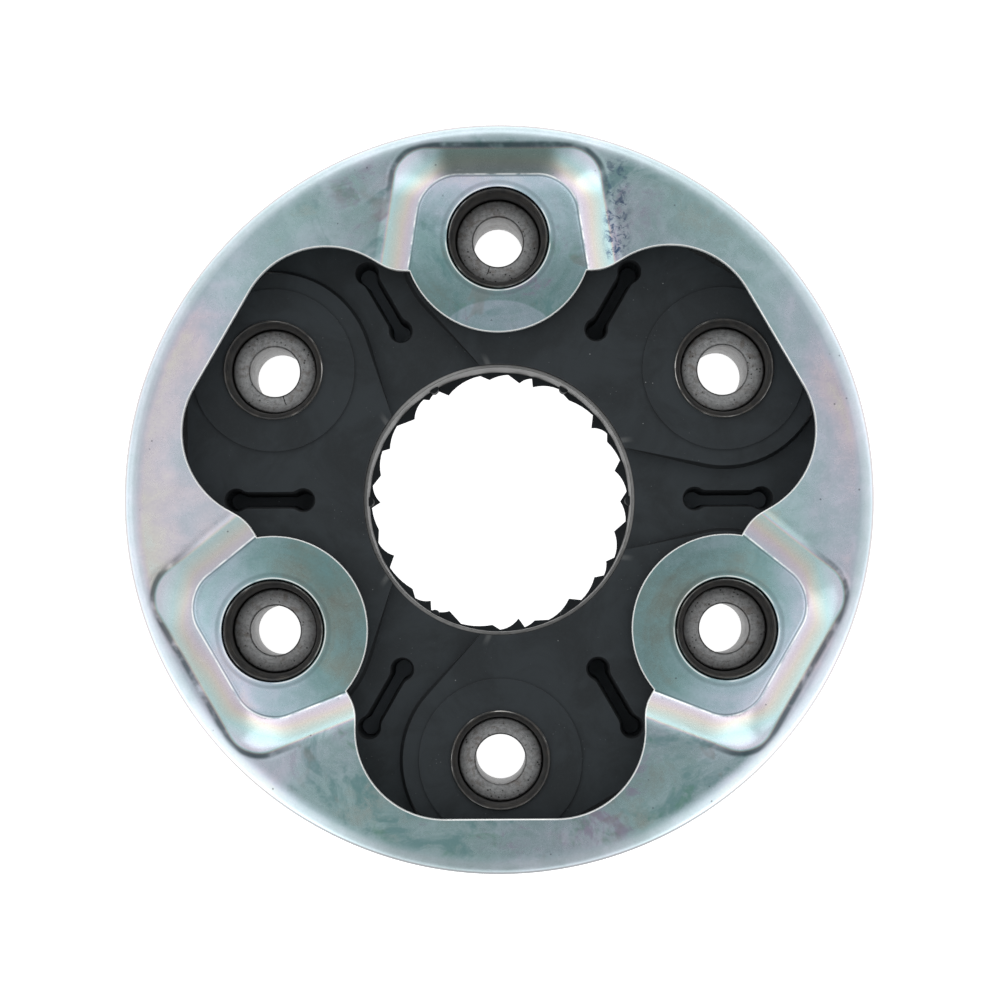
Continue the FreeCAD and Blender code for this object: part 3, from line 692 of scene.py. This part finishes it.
def pressed_plate():
    """Closed rows of points: sheared edge, top face, rim outside and inside, back face."""
    outline = opening_outline()
    flat_end = PLATE_R - RIM_BEND
    mesh = bmesh.new()
    slope = math.atan2(DROP, RAMP_RUN)
    under = SHEET * math.tan(slope / 2)
    rows = []

    def ring(points):
        rows.append([mesh.verts.new((x * MM, y * MM, z * MM)) for x, y, z in points])

    def ring_at(radius, z):
        ring([(radius * dx, radius * dy, z) for dx, dy in directions])

    def radial(x, y, share):
        r = math.hypot(x, y)
        new = r + (flat_end - r) * share
        return x * new / r, y * new / r

    ring([(x, y, LOBE_TOP + DROP * pressed_height(x, y) - EDGE) for x, y in outline])
    for gap in (EDGE, EDGE + EDGE_STRIP):
        ring([(x, y, LOBE_TOP + DROP * pressed_height(x, y)) for x, y in set_back(outline, gap)])
    top_edge = set_back(outline, EDGE + 2 * EDGE_STRIP)
    for i in range(FACE_STEPS + 1):
        line = [radial(x, y, i / FACE_STEPS) for x, y in top_edge]
        ring([(x, y, LOBE_TOP + DROP * pressed_height(x, y)) for x, y in line])
    directions = [(x / math.hypot(x, y), y / math.hypot(x, y)) for x, y in top_edge]
    for i in range(1, BEND_STEPS + 1):
        a = math.pi / 2 * i / BEND_STEPS
        ring_at(flat_end + RIM_BEND * math.sin(a), RING_TOP - RIM_BEND + RIM_BEND * math.cos(a))
    ring_at(PLATE_R, RIM_LOW + 6)
    ring_at(PLATE_R, RIM_LOW + EDGE)
    inner_r = PLATE_R - SHEET
    ring_at(PLATE_R - EDGE, RIM_LOW)
    ring_at(inner_r + EDGE, RIM_LOW)
    ring_at(inner_r, RIM_LOW + EDGE)
    ring_at(inner_r, RING_TOP - SHEET - 0.6)
    ring_at(inner_r - 0.1, RING_TOP - SHEET - EDGE)
    for i in range(BACK_STEPS + 1):
        share = 1 - i / BACK_STEPS
        line = []
        for (x, y), (dx, dy) in zip(outline, directions):
            r = math.hypot(x, y)
            new = r + (inner_r - 0.5 - r) * share
            px, py = (dx * new, dy * new) if i < BACK_STEPS else (x, y)
            line.append((px, py, LOBE_TOP - SHEET + DROP * pressed_height(px, py, under)))
        ring(line)
    count = len(outline)
    for a, b in zip(rows, rows[1:] + rows[:1]):
        for i in range(count):
            j = (i + 1) % count
            mesh.faces.new((a[i], a[j], b[j], b[i]))
    piece = solid_piece("pressed_plate", mesh, 45)
    sheared = piece.data.attributes.new("sheared", "FLOAT", "POINT")
    sheared.data.foreach_set("value", [1.0 if i < 2 * count else 0.0
                                       for i in range(len(piece.data.vertices))])
    return piece


def lobe_place(mm):
    """In the shader: a point's place on its nearest lobe, across and along from the centre."""
    x, y, z = mm.parts()
    radius = (x * x + y * y) ** 0.5
    turn = x.sum_of("ARCTAN2", x, y)
    turn = turn - (turn / THIRD).through("ROUND") * THIRD
    return (radius * turn.through("SINE")).size(), radius * turn.through("COSINE")


def outside_step(u, v, share):
    """In the shader: distance outside a floor line (share 0) or ring line (share 1)."""
    round_off = FLOOR_CORNER + CORNER_GROWTH * share
    reach = FLOOR_REACH + RAMP_RUN * share
    half = FLOOR_HALF + SIDE_RUN * share + (reach - v) * SIDE_TAPER
    across = (u - half) / math.hypot(1, SIDE_TAPER) + round_off
    along = v - (reach - round_off)
    wide = across.at_least(0.0)
    tall = along.at_least(0.0)
    corner = (wide / round_off).fade(0.25, 0.85) * (tall / round_off).fade(0.25, 0.85)
    away = (wide * wide + tall * tall) ** 0.5 + across.at_least(along).at_most(0.0) - round_off
    return away, corner


def passivated_zinc():
    """Zinc under a clear film, its brightness painted reflection: pale outside, teal stains inside,
    pink and green ramps.
    """
    material, mm, feed = new_finish("passivated_zinc")
    x, y, z = mm.parts()
    radius = (x * x + y * y) ** 0.5
    u, v = lobe_place(mm)
    edge, corner = outside_step(u, v, 0)
    bend_edge = outside_step(u, v, 1)[0]
    on_lobe = (v - 30.0).fade(0.0, 3.0)
    from_hole = (u * u + (v - BOLT_R) * (v - BOLT_R)) ** 0.5 - HOLE_R
    drift = mm.noise(0.028, 3.0, 0.55, 0.8)
    mottle = mm.noise(0.22, 6.0, 0.68, 0.4)
    grain = mm.noise(2.4, 4.0, 0.75)
    floor_part = (1.0 - edge.fade(-0.2, 0.2)) * on_lobe
    ramp = edge.fade(-0.1, 0.3) * (1.0 - bend_edge.fade(-0.9, 0.2)) * on_lobe
    shoulder = radius.fade(70.6, 73.4)

    # Tone: how bright the film looks from place to place. Mostly painted reflection by
    # clock angle, lobe floor, ramp corner and rim shoulder, with random mottle, drift and grain.
    clock_x = x / radius
    clock_y = y / radius
    top_side = clock_y.fade(-0.2, 0.7)
    # Painted reflection: the ring darker toward top and bottom, paler at the sides.
    tone = 0.57 - clock_x * 0.03 + clock_y * 0.02 - (clock_y * clock_y * 2.0 - 1.0) * 0.14
    swirl = mm.joined(from_hole * 0.28, x * 0.03, y * 0.03).noise(1.0, 3.0, 0.6, 0.3)
    # Painted reflection: lobe floors paler toward their outer ends.
    tone = tone.toward(0.31 + v.fade(38.0, 66.0) * 0.42 + v.fade(61.0, 64.0) * 0.12
                       + (swirl - 0.5) * 0.2, floor_part)
    top_ramp = clock_y.fade(0.93, 0.985) * v.fade(63.5, 66.0)
    # Painted reflection: ramps paler at their corners, most on the top side, darker on the top
    # lobe's outer ramp.
    tone = tone.toward(0.47 - top_ramp * 0.2 + corner * (0.06 + top_side * 0.24), ramp)
    low_sides = (1.0 - clock_y.fade(-0.75, -0.2)) * clock_x.size().fade(0.25, 0.6)
    upper_left = (1.0 - clock_x.fade(-0.9, -0.5)) * clock_y.fade(0.0, 0.3)
    # Painted reflection: the rim shoulder paler on its lower sides, darker at the bottom and upper
    # left.
    tone = tone.toward(0.56 + low_sides * 0.32 - (1.0 - clock_y.fade(-1.0, -0.85)) * 0.12
                       - upper_left * 0.08, shoulder)
    tip = (u * u * 0.52 + (v - 31.0) * (v - 31.0)) ** 0.5
    lens = (1.0 - tip.fade(8.7, 9.2)) * clock_y.fade(0.6, 0.9)
    tone = tone + lens * 0.12
    inner_band = (1.0 - radius.fade(62.5, 68.0)) * (1.0 - floor_part) * (1.0 - ramp)
    tone = tone - inner_band * 0.05
    calm = 1.0 - ramp * 0.65 - floor_part * 0.35
    tone = tone + ((mottle - 0.5) * 0.22 + (drift - 0.5) * 0.24) * calm + (grain - 0.5) * 0.18

    # Hue: how thick the film is, as a turn through its colours, partly led by the painted tone.
    left_ring = (1.0 - clock_x.fade(-1.0, -0.72)) * (1.0 - floor_part)
    film = (tone - 0.36) * 0.62 + ((drift - 0.5) * 1.1 + (mottle - 0.5) * 0.3) * calm
    film = film + lens * 0.12 + left_ring * (0.16 + (radius - 62.0).at_least(0.0) * 0.03)
    right_ring = clock_x.fade(0.7, 1.0) * (1.0 - floor_part)
    film = film + right_ring * (0.14 + (radius - 66.0) * 0.03)
    film = film + (swirl - 0.5) * floor_part * 0.22
    film = film.toward(0.17 + (mottle - 0.5) * 0.35 + (drift - 0.5) * 0.3, shoulder * 0.8)
    film = film.toward(0.36 + edge * 0.125 + (drift - 0.5) * 0.5 + corner * 0.1, ramp)
    hue = film.through("FRACT").shade([
        (0.0, (0.50, 0.79, 0.80, 1)), (0.2, (0.60, 0.77, 0.86, 1)), (0.38, (0.70, 0.73, 0.87, 1)),
        (0.54, (0.82, 0.70, 0.80, 1)), (0.68, (0.83, 0.75, 0.66, 1)), (0.84, (0.66, 0.80, 0.73, 1)),
        (1.0, (0.50, 0.79, 0.80, 1)),
    ])
    pale = (shoulder.at_least(left_ring) * 0.45).at_least((1.0 - floor_part) * 0.24)
    hue = pale.blend(hue, (0.75, 0.78, 0.81, 1))
    colour = hue.times(tone * 1.32)
    # Painted dark reflection on the top lobe's outer ramp.
    colour = (top_ramp * ramp * (1.0 - corner) * 0.55).blend(colour, (0.17, 0.25, 0.22, 1))

    # Stains: teal clouds, violet, green and brown patches, and one dark smudge; most are put where
    # the painted tone is dim.
    low_floors = floor_part * (1.0 - clock_y.fade(0.5, 0.8))
    # Where the painted reflection is dim, off the ramps, the shoulder and part of the lower floors.
    dim_tone = (1.0 - tone.fade(0.5, 0.75)) * (1.0 - ramp) * (1.0 - shoulder) * (1.0 - low_floors * 0.6)
    cloud = mm.noise(0.065, 5.0, 0.65, 1.0)
    teal = cloud.fade(0.49, 0.62) * mottle.fade(0.36, 0.56) * dim_tone
    middle_band = clock_y.fade(-0.5, -0.2) * (1.0 - clock_y.fade(0.75, 0.9)) * (1.0 - floor_part)
    teal = teal * (1.0 - middle_band * 0.7)
    colour = (teal * 0.62).blend(colour, (0.07, 0.20, 0.20, 1))
    rainbow = dim_tone * clock_y.fade(0.82, 0.93).at_least(1.0 - clock_y.fade(-0.8, -0.6))
    rainbow = rainbow * (1.0 - low_floors)
    violet = (1.0 - cloud.fade(0.36, 0.47)) * mottle.fade(0.42, 0.6) * rainbow
    colour = (violet * 0.62).blend(colour, (0.27, 0.205, 0.31, 1))
    green = mm.noise(0.09, 4.0, 0.65, 0.8).fade(0.55, 0.66) * mottle.fade(0.4, 0.58) * rainbow
    colour = (green * 0.5).blend(colour, (0.12, 0.28, 0.20, 1))
    brown = mm.noise(0.11, 3.0, 0.6, 0.5).fade(0.6, 0.7) * rainbow
    colour = (brown * 0.35).blend(colour, (0.25, 0.21, 0.18, 1))
    smudge = x.fade(20.5, 22.5) * (1.0 - x.fade(25.0, 27.0))
    smudge = smudge * y.fade(47.0, 49.0) * (1.0 - y.fade(66.0, 69.0))
    smudge = smudge * mm.noise(0.7, 5.0, 0.75, 0.5).fade(0.47, 0.62)
    colour = (smudge * (0.95 - y.fade(56.0, 63.0) * 0.35)).blend(colour, (0.045, 0.08, 0.16, 1))

    # Marks: painted shade on the bends, pits, scuffs, painted shade and highlight along
    # the floor lines, painted shade and bright rings round the holes, painted shade on the
    # rim's side wall, and the rim's outer edge, darker toward the bottom as painted shade.
    # Painted shade: a dark line along the bend at the head of each ramp.
    bend_shade = (1.0 - (bend_edge - 0.2).size().fade(0.2, 1.0)) * on_lobe * v.fade(54.0, 67.0)
    bend_shade = bend_shade * mm.noise(0.16, 3.0, 0.6).fade(0.2, 0.5) * (1.0 - radius.fade(72.0, 73.0))
    colour = (bend_shade * 0.85).blend(colour, (0.03, 0.055, 0.065, 1))
    pits = (1.0 - mm.cells(0.45).fade(0.05, 0.12)) * mm.noise(0.13, 2.0).fade(0.56, 0.64)
    colour = (pits * 0.7).blend(colour, (0.05, 0.06, 0.08, 1))
    scuff = mm.scaled(0.35, 4.0, 1.0).noise(0.8, 2.0, 0.5).fade(0.72, 0.8)
    colour = (scuff * 0.3).blend(colour, (0.85, 0.87, 0.88, 1))
    broken = mm.noise(0.3, 3.0, 0.6).fade(0.35, 0.6)
    # Painted shade just inside each floor line and a painted highlight just outside it, at the
    # ramp's foot.
    floor_line_shade = (1.0 - (edge + 0.2).size().fade(0.06, 0.26)) * on_lobe
    floor_line_highlight = (1.0 - (edge - 0.14).size().fade(0.04, 0.24)) * on_lobe * broken
    colour = (floor_line_shade * 0.6).blend(colour, (0.07, 0.1, 0.12, 1))
    colour = (floor_line_highlight * 0.9).blend(colour, (0.93, 0.95, 0.95, 1))
    hole_shade = (1.0 - (from_hole - 0.95).size().fade(0.1, 0.6)) * 0.3
    colour = hole_shade.blend(colour, (0.08, 0.12, 0.13, 1))
    # A bright ring round each hole: partly its punched edge, partly painted highlight.
    hole_line = 1.0 - (from_hole - 0.2).size().fade(0.04, 0.18)
    hole_line = hole_line * mm.noise(0.2, 2.0).fade(0.34, 0.54)
    # Painted shade: the rim's side wall, below the bend, painted darker and streaked by drawn lines.
    wall = 1.0 - z.fade(RING_TOP - RIM_BEND - 0.3, RING_TOP - RIM_BEND + 0.5)
    wall = wall * radius.fade(72.0, 72.3)
    # The rim's outer edge painted pinkish grey, darker toward the bottom as painted shade.
    rim = radius.fade(74.35, 74.6) * (1.0 - wall)
    colour = (rim * 0.85).blend(colour, clock_y.fade(-1.0, -0.6).blend((0.16, 0.16, 0.17, 1),
                                                                       (0.38, 0.34, 0.34, 1)))
    drawn = mm.joined(clock_x * 40.0, clock_y * 40.0, z * 0.15).noise(1.0, 4.0, 0.7)
    colour = wall.blend(colour, colour.times(0.3 + drawn * 0.3))
    # Sheared edges and hole rings painted near white: partly bare cut metal, partly painted
    # highlight.
    sheared = mm.node("Attribute", {"attribute_name": "sheared"}, {}, out=2)
    sheared = sheared.at_least(hole_line * 0.75)
    colour = sheared.blend(colour, (0.93, 0.94, 0.93, 1))
    wave = mm.noise(0.045, 2.0, 0.5)
    feed(Base_Color=colour, Metallic=0.94 - pits * 0.3 - sheared * 0.6,
         Roughness=0.2 + mottle * 0.14 + teal * 0.06 + sheared * 0.2 + shoulder * 0.14,
         Normal=grain.bump(0.1, 0.02 * MM, wave.bump(0.3, 0.4 * MM)))
    return material


HOLE_R = 10.36
LOBE_PLACES = (1, 3, 5)
plate = pressed_plate()
for place in LOBE_PLACES:
    punch_line = [(HOLE_R, LOBE_TOP - SHEET - 1), (HOLE_R, LOBE_TOP + 1)]
    cutter = lathe("hole_punch_%d" % place, punch_line, bush_axis(place), 144, True)
    cut = plate.modifiers.new("hole", "BOOLEAN")
    cut.operation = "DIFFERENCE"
    cut.solver = "EXACT"
    cut.object = cutter
    evaluated = plate.evaluated_get(bpy.context.evaluated_depsgraph_get())
    punched = bpy.data.meshes.new_from_object(evaluated)
    plate.modifiers.clear()
    plate.data = punched
    bpy.data.objects.remove(cutter)

# The punching leaves hair-fine open seams, closed here, and points round the
# holes that took over the mark of the sheared edge, which is cleared.
closed = bmesh.new()
closed.from_mesh(plate.data)
bmesh.ops.remove_doubles(closed, verts=closed.verts, dist=MERGE_MM * MM)
open_edges = [edge for edge in closed.edges if not edge.is_manifold]
bmesh.ops.holes_fill(closed, edges=open_edges, sides=4)
closed.to_mesh(plate.data)
closed.free()
hole_axes = [bush_axis(place).xy for place in LOBE_PLACES]
for point, mark in zip(plate.data.vertices, plate.data.attributes["sheared"].data):
    if min((point.co.xy - axis).length for axis in hole_axes) < (HOLE_R + 2) * MM:
        mark.value = 0.0
plate.data.polygons.foreach_set("use_smooth", [True] * len(plate.data.polygons))
plate.data.set_sharp_from_angle(angle=math.radians(45))
finished(plate, passivated_zinc(), "plate", "ring_plate")


# Plain pale table under the part.
def paper():
    material, mm, feed = new_finish("white_table")
    feed(Base_Color=(0.93, 0.93, 0.93, 1), Roughness=0.9,
         Emission_Color=(1.0, 1.0, 1.0, 1), Emission_Strength=1.0)
    return material


table = bmesh.new()
HALF_TABLE = 3.0
TABLE_GAP = 0.0003
corners = [table.verts.new((x * HALF_TABLE, y * HALF_TABLE, -TABLE_GAP))
           for x, y in ((-1, -1), (1, -1), (1, 1), (-1, 1))]
table.faces.new(corners)
floor_data = bpy.data.meshes.new("table")
table.to_mesh(floor_data)
table.free()
floor = bpy.data.objects.new("table", floor_data)
bpy.context.scene.collection.objects.link(floor)
floor.data.materials.append(paper())
floor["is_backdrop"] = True


# Soft studio light: a surround bright at its sides and large lamps above, left and right.
def lamp(name, place, power, width, height):
    data = bpy.data.lights.new(name, "AREA")
    data.shape = "RECTANGLE"
    data.size = width
    data.size_y = height
    data.energy = power
    light = bpy.data.objects.new(name, data)
    light.location = place
    light.rotation_euler = (-Vector(place)).to_track_quat("-Z", "Y").to_euler()
    bpy.context.scene.collection.objects.link(light)


lamp("top_lamp", (0.0, 0.95, 0.55), 2.2, 1.2, 0.5)
lamp("left_lamp", (-0.95, 0.15, 0.5), 1.5, 1.2, 0.5)
lamp("right_lamp", (0.95, 0.05, 0.5), 0.45, 1.2, 0.5)

SKY_MIDDLE = 0.36
SKY_SIDES = 1.0
surround = bpy.data.worlds.new("surround")
bpy.context.scene.world = surround
surround.use_nodes = True
sky = surround.node_tree
backdrop = next(n for n in sky.nodes if n.type == "BACKGROUND")
across, along, up = Value(sky, sky.nodes.new("ShaderNodeTexCoord").outputs["Generated"]).parts()
sides = across.fade(0.0, 0.34).at_least((-1.0 * across).fade(-0.05, 0.24))
sides = sides.at_least(along.fade(0.3, 0.75))
bright = sides * (SKY_SIDES - SKY_MIDDLE) + SKY_MIDDLE
tint = sides.blend((0.93, 0.98, 1.0, 1), (1.0, 1.0, 1.0, 1))
sky.links.new(tint.out, backdrop.inputs["Color"])
sky.links.new(bright.out, backdrop.inputs["Strength"])


# The camera hangs over the part, a little towards its lower edge, as in the photo.
PIXELS_PER_MM = 4.928
FACE_Z = 30.0
CAMERA_ABOVE = 703.0
NADIR_X = 1.5
NADIR_Y = -21.0
AIM_X = 0.15
ROLL = math.radians(0.28)
SENSOR_MM = 36
FRAME_PIXELS = 1000
lens_mm = PIXELS_PER_MM * CAMERA_ABOVE / FRAME_PIXELS * SENSOR_MM
camera_data = bpy.data.cameras.new("camera")
camera_data.sensor_width = SENSOR_MM
camera_data.lens = lens_mm
camera_data.clip_start = 0.05
camera_data.clip_end = 10
camera = bpy.data.objects.new("camera", camera_data)
camera.location = (NADIR_X * MM, NADIR_Y * MM, (FACE_Z + CAMERA_ABOVE) * MM)
back = (camera.location - Vector((AIM_X * MM, 0.0, FACE_Z * MM))).normalized()
right = Vector((math.sin(ROLL), math.cos(ROLL), 0)).cross(back).normalized()
camera.rotation_euler = Matrix((right, back.cross(right), back)).transposed().to_euler()
bpy.context.scene.collection.objects.link(camera)
bpy.context.scene.camera = camera

bpy.context.scene.view_settings.view_transform = "Standard"
low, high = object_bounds()
